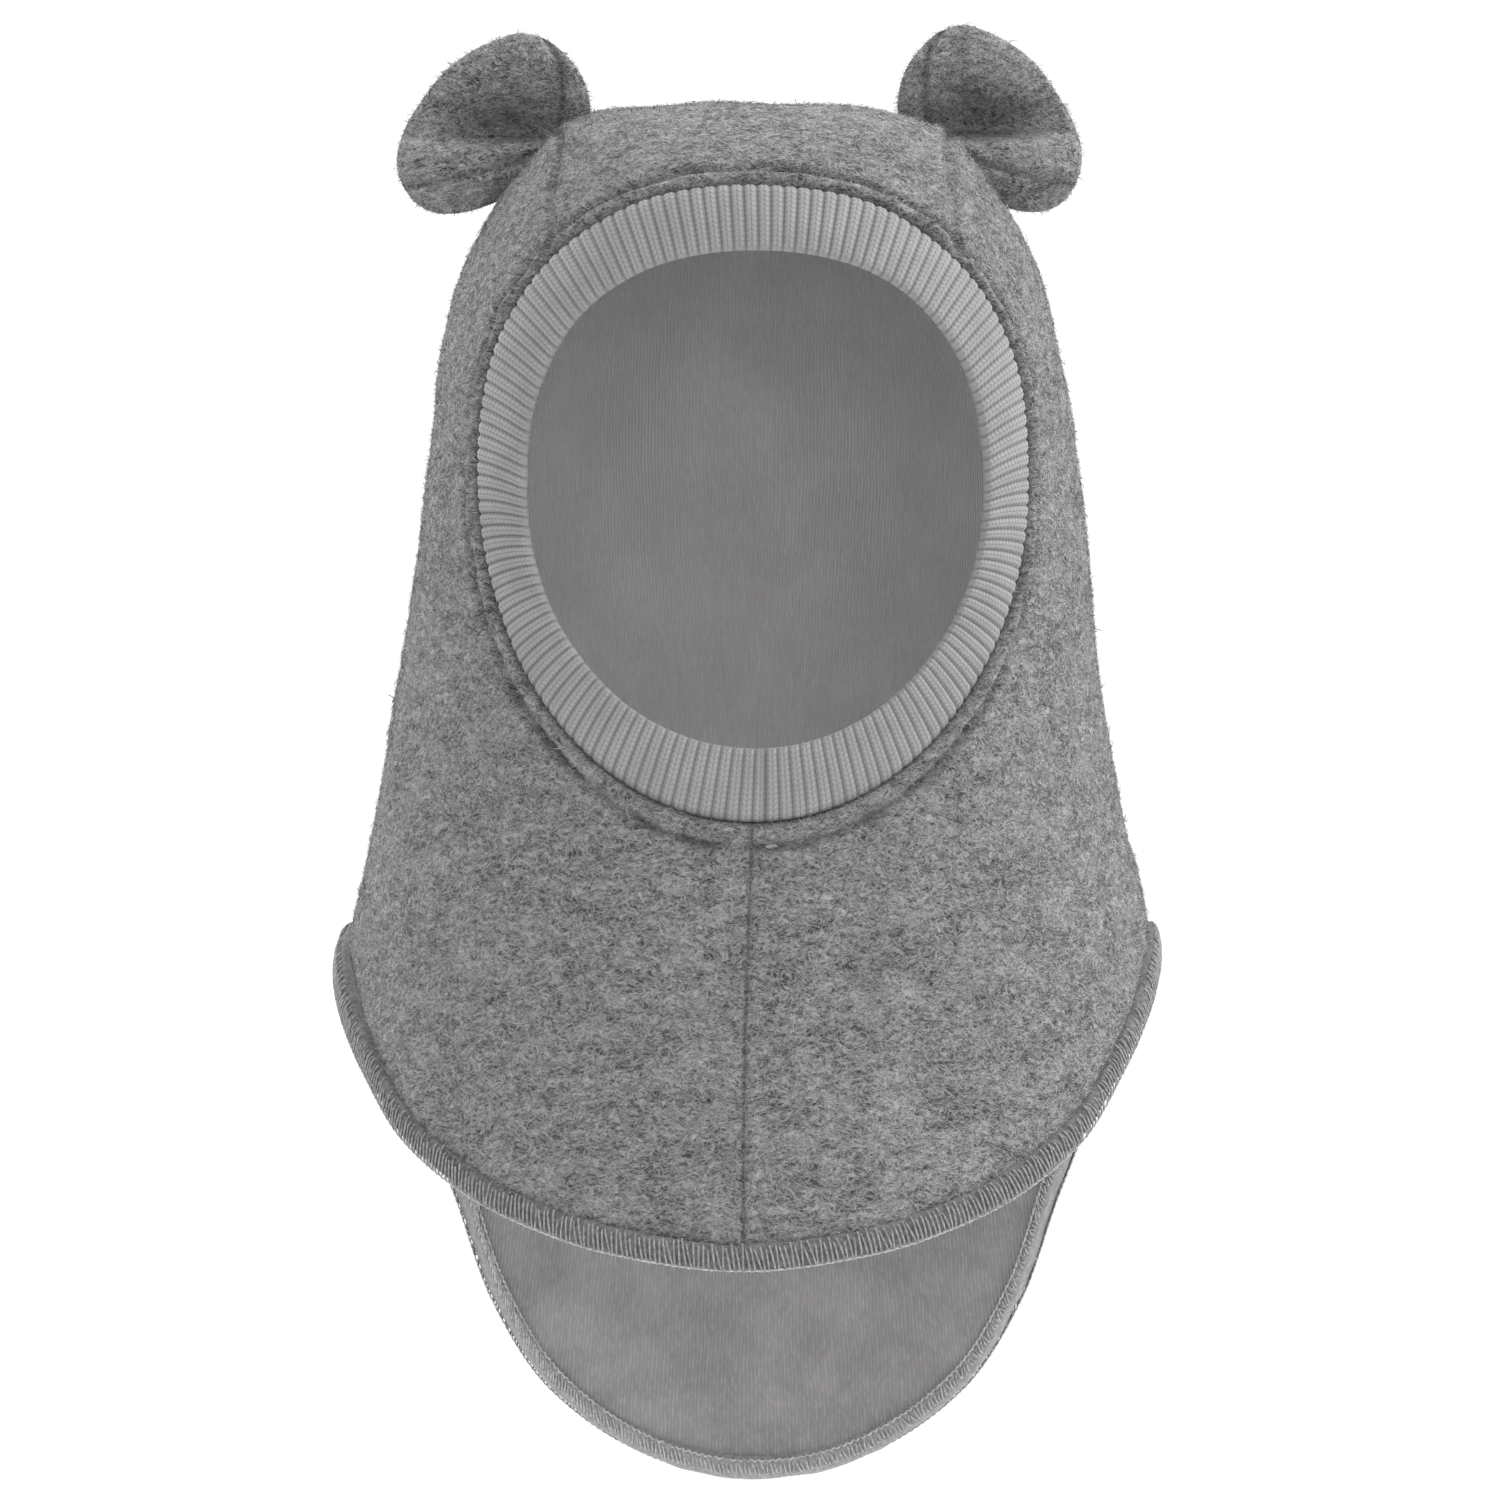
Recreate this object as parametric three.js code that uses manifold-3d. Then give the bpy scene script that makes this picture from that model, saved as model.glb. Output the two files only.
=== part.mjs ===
// Baby hood with ears, worn form. Millimetres, +Z up, face towards -Y, wearer's left at +X.
// The origin is the inside top of the crown, where the head carries the hood.
import * as THREE from "three";
import Module from "manifold-3d";

const wasm = await Module();
wasm.setup();

// Cloth: every depth is measured inwards from the outside of the wool.
const WOOL = 2.8;
const LINING = 1.4;
const GAP = 0.3;
const CROWN_TOP = WOOL + GAP + LINING;

// Rounds of the hood from the crown centre outwards: arc is the way along the cloth, drop the
// fall below the crown top, then half width, reach forwards, reach backwards and squareness.
const ROUNDS = [
  { arc: 0, drop: 0, half: 0, front: 0, back: 0, square: 2 },
  { arc: 22, drop: 0.7, half: 23, front: 19, back: 26, square: 2.05 },
  { arc: 42, drop: 2.6, half: 41.5, front: 35, back: 47, square: 2.05 },
  { arc: 55, drop: 8, half: 51.5, front: 49, back: 62, square: 2.1 },
  { arc: 69, drop: 19.5, half: 62, front: 65, back: 79.5, square: 2.1 },
  { arc: 84, drop: 33, half: 70.3, front: 76, back: 90, square: 2.15 },
  { arc: 104, drop: 51.5, half: 77.5, front: 84.5, back: 97, square: 2.2 },
  { arc: 131, drop: 77, half: 83.2, front: 90.5, back: 100, square: 2.2 },
  { arc: 157, drop: 103, half: 86.7, front: 93, back: 98, square: 2.2 },
  { arc: 209, drop: 155, half: 92, front: 90.5, back: 87, square: 2.2 },
  { arc: 235, drop: 181, half: 97, front: 88.5, back: 83, square: 2.2 },
  { arc: 262, drop: 207, half: 103.3, front: 88, back: 82, square: 2.2 },
  { arc: 300, drop: 245, half: 111, front: 92, back: 87, square: 2.2 },
  { arc: 341, drop: 285, half: 117, front: 101, back: 95, square: 2.2 },
  { arc: 440, drop: 382, half: 128, front: 121, back: 113, square: 2.2 },
];

// Hem: turn is the angle seen from above, -90 at the front and 90 at the back.
const HEM = [
  { turn: -90, drop: 298 },
  { turn: -72, drop: 294 },
  { turn: -60, drop: 287.5 },
  { turn: -50, drop: 279.5 },
  { turn: -38, drop: 266 },
  { turn: -28, drop: 250 },
  { turn: -18, drop: 236 },
  { turn: -8, drop: 225.5 },
  { turn: 2, drop: 219.5 },
  { turn: 11, drop: 220.5 },
  { turn: 20, drop: 231 },
  { turn: 30, drop: 252 },
  { turn: 42, drop: 286 },
  { turn: 50, drop: 315 },
  { turn: 60, drop: 340 },
  { turn: 75, drop: 359 },
  { turn: 90, drop: 365 },
];
const HEM_HEIGHT = 6.4;
const HEM_SWELL = 0.7;

// Face opening, seen from the front: centre, half width, reach up and down, squareness each way.
const BAND_INNER = { x: 1.4, z: -95.8, half: 60.8, up: 60, down: 68.2, squareUp: 2.3, squareDown: 2 };
const BAND_OUTER = { x: 0.9, z: -91.4, half: 70.8, up: 71.3, down: 89.9, squareUp: 2.25, squareDown: 2.05 };
// The lower hood has turned a little on the neck: its front bib sits to one side, its back bib to
// the other, from one fall below the crown top to another.
const SWAY = { from: 165, to: 255, shift: 1.8, softness: 22 };
const BAND_THICK = 2.4;
const BAND_SUNK = 0.6;
const BAND_CURL = 1.6;

// Share of the way round, from back centre (0) to front centre (1), where the crown seams run.
const CROWN_SEAM = 0.25;
const CROWN_PULL = 140;
const STEPS = { crown: 14, side: 18, down: 19, band: 3 };

// Ear outline as seen from the front, up from its root on the crown, round the tip and back
// down; the last places lie inside the crown, where the ear is cut off at its seam.
const EAR_OUTLINE = [
  { x: 39, z: 2.7 },
  { x: 38.7, z: 8 },
  { x: 40.3, z: 13.9 },
  { x: 43.7, z: 19.2 },
  { x: 48.7, z: 23.9 },
  { x: 55.2, z: 26.2 },
  { x: 61, z: 24.8 },
  { x: 66.7, z: 22 },
  { x: 71.9, z: 18.4 },
  { x: 76.1, z: 14.2 },
  { x: 80.8, z: 7.4 },
  { x: 84.5, z: 0.6 },
  { x: 86.4, z: -6.5 },
  { x: 86.2, z: -11.5 },
  { x: 84.5, z: -16.1 },
  { x: 81.8, z: -19.6 },
  { x: 77.7, z: -21.8 },
  { x: 72.7, z: -22.2 },
  { x: 66, z: -20.8 },
  { x: 58, z: -17 },
  { x: 50, z: -11.5 },
  { x: 43.5, z: -4 },
];
// The ear stands forward of its root line. A pocket is pressed in above the level crease, steep
// on its lower side, and the lowest part rolls back.
const EAR_BODY = { y: 17, forward: 9 };
const EAR_POCKET = { x: 57, z: -1.5, deep: 12, wide: 17, above: 12, below: 2.4 };
const EAR_ROLL = { from: 10, height: 10, back: 7 };
const EAR_MIDDLE = { x: 61, z: -1 };
const EAR_SWELL = { upper: 3, lower: 4.6 };
const EAR_STEPS = 5;
// The two ears are sewn a little differently: shift outwards, drop, then width and height.
const EAR_LEFT = { side: 1, shift: 0, low: -0.8, wide: 1, tall: 1 };
const EAR_RIGHT = { side: -1, shift: 3.2, low: -2, wide: 1.05, tall: 0.965 };

const mix = (a, b, t) => a + (b - a) * t;
const radians = (degrees) => (degrees * Math.PI) / 180;

// A smooth curve through one column of a table, keyed by another column.
function along(table, key, at, column) {
  const last = table.length - 2;
  let i = 0;
  while (i < last && at > table[i + 1][key]) i += 1;
  const [p, q] = [table[i], table[i + 1]];
  const slope = (j) => {
    const a = table[Math.max(j - 1, 0)];
    const b = table[Math.min(j + 1, table.length - 1)];
    return (b[column] - a[column]) / (b[key] - a[key]);
  };
  const w = q[key] - p[key];
  const t = Math.min(Math.max((at - p[key]) / w, 0), 1);
  const rise = t * t * (3 - 2 * t);
  const out = t * (1 - t) * (1 - t) * slope(i);
  const back = t * t * (t - 1) * slope(i + 1);
  return mix(p[column], q[column], rise) + w * (out + back);
}

// Point on the outside of the hood, from flat chart coordinates seen from above.
function outside(u, v) {
  const arc = Math.hypot(u, v);
  const row = (column) => along(ROUNDS, "arc", arc, column);
  const turn = Math.atan2(v, u);
  const power = row("square");
  const across = Math.abs(Math.cos(turn)) / Math.max(row("half"), 1e-6);
  const fore = Math.abs(Math.sin(turn)) / Math.max(row(v < 0 ? "front" : "back"), 1e-6);
  const reach = arc < 1e-6 ? 0 : (across ** power + fore ** power) ** (-1 / power);
  const y = reach * Math.sin(turn);
  const turned = THREE.MathUtils.smoothstep(row("drop"), SWAY.from, SWAY.to);
  const sideways = SWAY.shift * turned * Math.tanh(y / SWAY.softness);
  return new THREE.Vector3(reach * Math.cos(turn) + sideways, y, CROWN_TOP - row("drop"));
}

// Point at a depth below the outside, square to the cloth.
function inside(u, v, depth) {
  const e = 0.5;
  const right = outside(u + e, v).sub(outside(u - e, v));
  const behind = outside(u, v + e).sub(outside(u, v - e));
  const outwards = right.cross(behind).normalize();
  return outside(u, v).addScaledVector(outwards, -depth);
}

// Chart place that lies behind a point of the front view.
function chartOfFront(x, z) {
  const drop = CROWN_TOP - z;
  const arc = along(ROUNDS, "drop", drop, "arc");
  const row = (column) => along(ROUNDS, "arc", arc, column);
  const share = Math.min(Math.abs(x) / row("half"), 1) ** row("square");
  const y = -row("front") * (1 - share) ** (1 / row("square"));
  const turn = Math.atan2(y, x);
  return [arc * Math.cos(turn), arc * Math.sin(turn)];
}

// Chart place on the rim of a face opening; way runs from 0 at the top to 1 at the chin.
function faceRim(rim, way) {
  const turn = Math.PI * way;
  const up = Math.cos(turn) > 0;
  const power = 2 / (up ? rim.squareUp : rim.squareDown);
  const x = rim.x + Math.sign(way) * rim.half * Math.abs(Math.sin(turn)) ** power;
  const rise = Math.abs(Math.cos(turn)) ** power;
  return chartOfFront(x, rim.z + (up ? rim.up : -rim.down) * rise);
}

// Chart place on the hem for the same way round.
function hemEdge(way) {
  const turn = 90 - 180 * Math.abs(way);
  const arc = along(ROUNDS, "drop", along(HEM, "turn", turn, "drop"), "arc");
  return [Math.sign(way || 1) * arc * Math.cos(radians(turn)), arc * Math.sin(radians(turn))];
}

// Chart place of the body cloth: way round, and down from the face opening (0) to the hem (1).
// The threads that start beside the forehead first run straight back over the crown.
function bodyChart(way, down) {
  const [u0, v0] = faceRim(BAND_OUTER, way);
  const [u1, v1] = hemEdge(way);
  const pull = CROWN_PULL * Math.sin(2 * Math.PI * Math.min(Math.max(way, -0.5), 0.5));
  const bow = 2 * down * (1 - down) * pull;
  return [mix(u0, u1, down) - bow, mix(v0, v1, down)];
}

const bodyPoint = (way, down, depth) => inside(...bodyChart(way, down), depth);

// How far way or down has to move for one millimetre of cloth.
const wayPerMm = (way, down) =>
  0.002 / bodyPoint(way, down, 0).distanceTo(bodyPoint(way - 0.002 * Math.sign(way || 1), down, 0));
const downPerMm = (way, down) =>
  0.002 / bodyPoint(way, down + 0.001, 0).distanceTo(bodyPoint(way, down - 0.001, 0));

// Closed solid from a grid of rings: each ring is a closed loop of points.
function solidFromRings(rings, closedWay) {
  const [n, m] = [rings.length, rings[0].length];
  const positions = rings.flat().flatMap((p) => [p.x, p.y, p.z]);
  const faces = [];
  const turns = closedWay ? n : n - 1;
  for (let i = 0; i < turns; i += 1) {
    for (let j = 0; j < m; j += 1) {
      const [a, b] = [i * m + j, i * m + ((j + 1) % m)];
      const [c, d] = [((i + 1) % n) * m + j, ((i + 1) % n) * m + ((j + 1) % m)];
      if (j < m / 2) faces.push(a, c, b, b, c, d);
      else faces.push(a, c, d, a, d, b);
    }
  }
  if (!closedWay) {
    for (let j = 0; j < m / 2 - 1; j += 1) {
      const [a, b, c, d] = [j, j + 1, m - 1 - j, m - 2 - j];
      faces.push(a, b, c, b, d, c);
      const far = (n - 1) * m;
      faces.push(far + a, far + c, far + b, far + b, far + c, far + d);
    }
  }
  return { positions, faces };
}

// Closed body from points and faces, turned to face outwards.
function solidOf({ positions, faces }) {
  const vertProperties = new Float32Array(positions);
  const make = (triVerts) =>
    new wasm.Manifold(new wasm.Mesh({ numProp: 3, vertProperties, triVerts }));
  const solid = make(new Uint32Array(faces));
  return solid.volume() > 0 ? solid : make(new Uint32Array(faces).reverse());
}

// Named mesh, checked to be one closed body.
function piece(name, shape, look) {
  const solid = solidOf(shape);
  if (solid.decompose().length !== 1) throw new Error(name + " is not one body");
  const { vertProperties, triVerts } = solid.getMesh();
  const geometry = new THREE.BufferGeometry();
  geometry.setAttribute("position", new THREE.Float32BufferAttribute(vertProperties, 3));
  geometry.setIndex([...triVerts]);
  geometry.computeVertexNormals();
  const material = new THREE.MeshStandardMaterial({ metalness: 0, ...look });
  const mesh = new THREE.Mesh(geometry, material);
  mesh.name = name;
  return mesh;
}

// Slab of body cloth between two ways round and two depths; each ring runs down and back up.
function bodySlab(from, to, steps, outer, inner, closedWay) {
  const rings = [];
  const total = closedWay ? steps : steps + 1;
  for (let i = 0; i < total; i += 1) {
    const way = mix(from, to, i / steps);
    const trim = closedWay ? 0 : ((i === 0) - (i === steps)) * (GAP / 2);
    const ring = [];
    for (let j = 0; j <= STEPS.down; j += 1) {
      const start = 0.15 * downPerMm(way, 0.002);
      const end = 1 - (HEM_HEIGHT + GAP) * downPerMm(way, 0.998);
      const down = mix(start, end, j / STEPS.down);
      ring.push([way + trim * wayPerMm(way, down), down]);
    }
    rings.push([
      ...ring.map(([w, d]) => bodyPoint(w, d, outer)),
      ...ring.reverse().map(([w, d]) => bodyPoint(w, d, inner)),
    ]);
  }
  return solidFromRings(rings, closedWay);
}

const WAYS_ROUND = [];
for (let i = 0; i < STEPS.side; i += 1) {
  WAYS_ROUND.push(mix(-1, -CROWN_SEAM, i / STEPS.side));
}
for (let i = 0; i < STEPS.crown; i += 1) {
  WAYS_ROUND.push(mix(-CROWN_SEAM, CROWN_SEAM, i / STEPS.crown));
}
for (let i = 0; i < STEPS.side; i += 1) {
  WAYS_ROUND.push(mix(CROWN_SEAM, 1, i / STEPS.side));
}

// The lining is one closed round of cloth under the three wool panels.
function liningSolid() {
  const rings = WAYS_ROUND.map((way) => {
    const ring = [];
    for (let j = 0; j <= STEPS.down; j += 1) {
      const start = 0.15 * downPerMm(way, 0.002);
      const end = 1 - (HEM_HEIGHT + GAP) * downPerMm(way, 0.998);
      ring.push(mix(start, end, j / STEPS.down));
    }
    return [
      ...ring.map((down) => bodyPoint(way, down, WOOL + GAP)),
      ...ring.reverse().map((down) => bodyPoint(way, down, CROWN_TOP)),
    ];
  });
  return solidFromRings(rings, true);
}

// The rib band lies a little lower than the wool and curls in at its free fold.
function bandSolid() {
  const rings = WAYS_ROUND.map((way) => {
    const [u0, v0] = faceRim(BAND_INNER, way);
    const [u1, v1] = faceRim(BAND_OUTER, way);
    const across = Math.hypot(u1 - u0, v1 - v0);
    const shelf = (j, thick) => {
      const share = (j / STEPS.band) * (1 - GAP / across);
      const depth = BAND_SUNK + BAND_CURL * (1 - share) ** 2;
      return inside(mix(u0, u1, share), mix(v0, v1, share), depth + thick);
    };
    const steps = [...Array(STEPS.band + 1).keys()];
    return [
      ...steps.map((j) => shelf(j, 0)),
      ...steps.reverse().map((j) => shelf(j, BAND_THICK)),
    ];
  });
  return solidFromRings(rings, true);
}

// The overlock wraps both raw edges: a flat round bead below the cloth.
function hemSolid() {
  const section = [
    { up: 1, depth: 0.6 },
    { up: 0.78, depth: -HEM_SWELL },
    { up: 0.2, depth: -HEM_SWELL },
    { up: 0, depth: 1.4 },
    { up: 0, depth: CROWN_TOP - 1.4 },
    { up: 0.2, depth: CROWN_TOP + 0.4 },
    { up: 0.78, depth: CROWN_TOP + 0.4 },
    { up: 1, depth: CROWN_TOP - 0.4 },
  ];
  const rings = WAYS_ROUND.map((way) =>
    section.map(({ up, depth }) =>
      bodyPoint(way, 1 - up * HEM_HEIGHT * downPerMm(way, 0.998), depth),
    ),
  );
  return solidFromRings(rings, true);
}

const smooth = (t) => {
  const c = Math.min(Math.max(t, 0), 1);
  return c * c * (3 - 2 * c);
};

// How far the middle of the ear lies in front of its root line.
function earForward(x, z) {
  const up = z - EAR_POCKET.z;
  const tall = up > 0 ? EAR_POCKET.above : EAR_POCKET.below;
  const pocket = Math.exp(-(((x - EAR_POCKET.x) / EAR_POCKET.wide) ** 2) - (up / tall) ** 2);
  const roll = EAR_ROLL.back * smooth((-up - EAR_ROLL.from) / EAR_ROLL.height);
  return EAR_BODY.forward - EAR_POCKET.deep * pocket - roll;
}

// Solid that fills the crown out to the sewing gap, to cut the ear roots off.
function crownCore() {
  const rings = [];
  const [rounds, around, reach] = [14, 56, 104];
  for (let i = 1; i <= rounds; i += 1) {
    const arc = (reach * i) / rounds;
    rings.push(
      [...Array(around).keys()].map((k) => {
        const turn = (2 * Math.PI * k) / around;
        return inside(arc * Math.cos(turn), arc * Math.sin(turn), -GAP);
      }),
    );
  }
  const points = rings.flat();
  const top = points.push(inside(0, 0, -GAP)) - 1;
  const low = points.push(new THREE.Vector3(0, 0, rings[rounds - 1][0].z)) - 1;
  const faces = [];
  for (let k = 0; k < around; k += 1) {
    const n = (k + 1) % around;
    faces.push(top, k, n);
    for (let i = 0; i + 1 < rounds; i += 1) {
      const [a, b] = [i * around, (i + 1) * around];
      faces.push(a + k, b + k, b + n, a + k, b + n, a + n);
    }
    const edge = (rounds - 1) * around;
    faces.push(edge + k, low, edge + n);
  }
  return { positions: points.flatMap((p) => [p.x, p.y, p.z]), faces };
}

// Ear: two layers sewn round the outline and folded, cut off where it meets the crown.
function earSolid({ side, shift, low, wide, tall }) {
  const point = ({ x, z }, share, back) => {
    const at = {
      x: mix(EAR_MIDDLE.x, x, share),
      z: mix(EAR_MIDDLE.z, z, share),
    };
    const full = at.z > EAR_POCKET.z ? EAR_SWELL.upper : EAR_SWELL.lower;
    const swell = full * Math.sqrt(Math.max(1 - share ** 5, 0));
    const y = EAR_BODY.y - earForward(at.x, at.z) + (back ? swell : -swell);
    const root = EAR_OUTLINE[0].x;
    return new THREE.Vector3(side * (root + shift + (at.x - root) * wide), y, low + at.z * tall);
  };
  const positions = [];
  const put = (p) => positions.push(p.x, p.y, p.z) / 3 - 1;
  const front = put(point(EAR_MIDDLE, 0, false));
  const loops = [];
  for (let k = 1; k < 2 * EAR_STEPS; k += 1) {
    const turn = (Math.PI / 2) * (k / EAR_STEPS);
    loops.push(EAR_OUTLINE.map((p) => put(point(p, Math.sin(turn), k > EAR_STEPS))));
  }
  const rear = put(point(EAR_MIDDLE, 0, true));
  const faces = [];
  for (let i = 0; i < EAR_OUTLINE.length; i += 1) {
    const j = (i + 1) % EAR_OUTLINE.length;
    faces.push(front, loops[0][i], loops[0][j]);
    for (let k = 0; k + 1 < loops.length; k += 1) {
      faces.push(loops[k][i], loops[k + 1][i], loops[k][j]);
      faces.push(loops[k][j], loops[k + 1][i], loops[k + 1][j]);
    }
    const last = loops[loops.length - 1];
    faces.push(last[i], rear, last[j]);
  }
  const cut = solidOf({ positions, faces }).subtract(solidOf(crownCore()));
  const mesh = cut.getMesh();
  return { positions: [...mesh.vertProperties], faces: [...mesh.triVerts] };
}

const WOOL_LOOK = { color: 0x8a8a89, roughness: 0.95 };
const hood = new THREE.Group();
hood.name = "baby_hood";

const body = new THREE.Group();
body.name = "body_cloth";
const panel = (from, to, steps) => bodySlab(from, to, steps, 0, WOOL, false);
body.add(
  piece("crown_centre_panel", panel(-CROWN_SEAM, CROWN_SEAM, STEPS.crown), WOOL_LOOK),
  piece("side_panel_left", panel(CROWN_SEAM, 1, STEPS.side), WOOL_LOOK),
  piece("side_panel_right", panel(-1, -CROWN_SEAM, STEPS.side), WOOL_LOOK),
  piece("lining", liningSolid(), { color: 0x807e7f, roughness: 0.85 }),
);

const edges = new THREE.Group();
edges.name = "edges";
edges.add(
  piece("face_rib_band", bandSolid(), { color: 0xa8a8a9, roughness: 0.9 }),
  piece("hem_overlock", hemSolid(), { color: 0x8f8f90, roughness: 0.85 }),
);

const ears = new THREE.Group();
ears.name = "ears";
ears.add(
  piece("ear_left", earSolid(EAR_LEFT), WOOL_LOOK),
  piece("ear_right", earSolid(EAR_RIGHT), WOOL_LOOK),
);

hood.add(body, edges, ears);
export default hood;
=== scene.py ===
import math

import bpy
import numpy as np
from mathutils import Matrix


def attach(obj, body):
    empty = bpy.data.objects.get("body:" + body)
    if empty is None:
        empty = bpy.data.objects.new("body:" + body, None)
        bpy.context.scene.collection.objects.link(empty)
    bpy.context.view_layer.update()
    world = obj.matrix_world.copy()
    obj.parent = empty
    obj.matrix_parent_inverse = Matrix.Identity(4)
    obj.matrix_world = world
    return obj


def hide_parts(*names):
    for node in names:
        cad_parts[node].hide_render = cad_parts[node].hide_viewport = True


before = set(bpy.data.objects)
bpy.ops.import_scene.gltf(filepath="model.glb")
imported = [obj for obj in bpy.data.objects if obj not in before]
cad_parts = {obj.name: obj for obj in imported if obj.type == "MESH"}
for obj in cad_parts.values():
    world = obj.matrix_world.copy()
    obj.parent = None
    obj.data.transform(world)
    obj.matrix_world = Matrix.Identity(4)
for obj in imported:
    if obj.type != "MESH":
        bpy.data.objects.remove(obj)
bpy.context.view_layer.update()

# Camera: level with the middle of the hood, straight in front of the face, through a long lens.
# Everything below is built in millimetres and turned into metres when a mesh is made.
CAMERA_AWAY = 2.6
CAMERA_HEIGHT = -0.1637
camera = bpy.data.objects.new("camera", bpy.data.cameras.new("camera"))
camera.data.lens = 240
camera.data.sensor_width = 36
camera.data.clip_end = 30
camera.location = (0, -CAMERA_AWAY, CAMERA_HEIGHT)
camera.rotation_euler = (math.pi / 2, 0, 0)
bpy.context.scene.collection.objects.link(camera)
bpy.context.scene.camera = camera


# Wool panels: a crown strip and two side panels cut from thick brushed wool fleece, sewn with
# turned seams along the crown and down the front. The cloth is 2.8 mm thick and keeps the round
# form of the head; it swells beside each seam and is pulled in along the stitches.
WOOL_THICK = 2.8
WALL = 4.5
CROWN_SEAM = 0.25
CROWN_PULL = 140
HEM_HEIGHT = 6.4

# Rounds of the hood from the crown centre outwards: way along the cloth, fall below the crown
# top, half width, reach forwards, reach backwards, squareness.
ROUNDS = np.array([
    (0, 0, 0, 0, 0, 2), (22, 0.7, 23, 19, 26, 2.05), (42, 2.6, 41.5, 35, 47, 2.05),
    (55, 8, 51.5, 49, 62, 2.1), (69, 19.5, 62, 65, 79.5, 2.1), (84, 33, 70.3, 76, 90, 2.15),
    (104, 51.5, 77.5, 84.5, 97, 2.2), (131, 77, 83.2, 90.5, 100, 2.2),
    (157, 103, 86.7, 93, 98, 2.2), (209, 155, 92, 90.5, 87, 2.2), (235, 181, 97, 88.5, 83, 2.2),
    (262, 207, 103.3, 88, 82, 2.2), (300, 245, 111, 92, 87, 2.2), (341, 285, 117, 101, 95, 2.2),
    (440, 382, 128, 121, 113, 2.2),
], float)
ARC, DROP, HALF, FRONT, BACK, SQUARE = range(6)
# Hem: angle seen from above (-90 front, 90 back) and fall below the crown top. The first and
# last rows mirror their neighbours, so that the hem runs level through both centres.
HEM = np.array([
    (-108, 294), (-90, 298), (-72, 294), (-60, 287.5), (-50, 279.5), (-38, 266), (-28, 250), (-18, 236),
    (-8, 225.5), (2, 219.5), (11, 220.5), (20, 231), (30, 252), (42, 286), (50, 315), (60, 340),
    (75, 359), (90, 365), (105, 359),
], float)
# Face opening from the front: centre x and z, half width, reach up and down, squareness.
BAND_INNER = (1.4, -95.8, 60.8, 60.0, 68.2, 2.3, 2.0)
BAND_OUTER = (0.9, -91.4, 70.8, 71.3, 89.9, 2.25, 2.05)
# The lower hood has turned a little on the neck: fall where that starts and ends, shift, softness.
SWAY = (165, 255, 1.8, 22)


def along(table, key, at, column):
    """A smooth curve through one column of a table, keyed by another column."""
    x, y = table[:, key], table[:, column]
    at = np.clip(np.asarray(at, float), x[0], x[-1])
    i = np.clip(np.searchsorted(x, at, side="right") - 1, 0, len(x) - 2)
    before, after = np.maximum(np.arange(len(x)) - 1, 0), np.minimum(np.arange(len(x)) + 1, len(x) - 1)
    slope = (y[after] - y[before]) / (x[after] - x[before])
    w = x[i + 1] - x[i]
    t = (at - x[i]) / w
    bend = w * (t * (1 - t) ** 2 * slope[i] + t * t * (t - 1) * slope[i + 1])
    return y[i] + (y[i + 1] - y[i]) * t * t * (3 - 2 * t) + bend


def outside(u, v):
    """Points on the outside of the hood, from flat chart places seen from above."""
    arc = np.hypot(u, v)
    turn = np.arctan2(v, u)
    power = along(ROUNDS, ARC, arc, SQUARE)
    depth = np.where(v < 0, along(ROUNDS, ARC, arc, FRONT), along(ROUNDS, ARC, arc, BACK))
    half = np.maximum(along(ROUNDS, ARC, arc, HALF), 1e-6)
    reach = (np.abs(np.cos(turn)) / half) ** power
    reach = (reach + (np.abs(np.sin(turn)) / np.maximum(depth, 1e-6)) ** power) ** (-1 / power)
    reach = np.where(arc < 1e-6, 0, reach)
    drop = along(ROUNDS, ARC, arc, DROP)
    start, end, shift, softness = SWAY
    share = np.clip((drop - start) / (end - start), 0, 1)
    y = reach * np.sin(turn)
    sideways = shift * share * share * (3 - 2 * share) * np.tanh(y / softness)
    return np.stack([reach * np.cos(turn) + sideways, y, WALL - drop], -1)


def unit(v):
    """Vectors of length one."""
    return v / np.maximum(np.linalg.norm(v, axis=-1, keepdims=True), 1e-9)


def outwards(u, v):
    """Directions square to the hood's outside."""
    e = 0.5
    right = outside(u + e, v) - outside(u - e, v)
    behind = outside(u, v + e) - outside(u, v - e)
    return unit(np.cross(right, behind))


def inside(u, v, depth):
    """Points at a depth below the outside."""
    return outside(u, v) - outwards(u, v) * np.asarray(depth)[..., None]


def chart_of_front(x, z):
    """Chart places behind points of the front view."""
    arc = along(ROUNDS, DROP, WALL - z, ARC)
    power = along(ROUNDS, ARC, arc, SQUARE)
    share = np.minimum(np.abs(x) / along(ROUNDS, ARC, arc, HALF), 1) ** power
    y = -along(ROUNDS, ARC, arc, FRONT) * (1 - share) ** (1 / power)
    turn = np.arctan2(y, x)
    return arc * np.cos(turn), arc * np.sin(turn)


def face_rim(rim, way):
    """Chart places on a face loop; way runs from 0 at the top to 1 (or -1) at the chin."""
    cx, cz, half, up, down, square_up, square_down = rim
    turn = np.pi * way
    above = np.cos(turn) > 0
    power = 2 / np.where(above, square_up, square_down)
    x = cx + np.sign(way) * half * np.abs(np.sin(turn)) ** power
    rise = np.abs(np.cos(turn)) ** power
    return chart_of_front(x, cz + np.where(above, up, -down) * rise)


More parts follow.
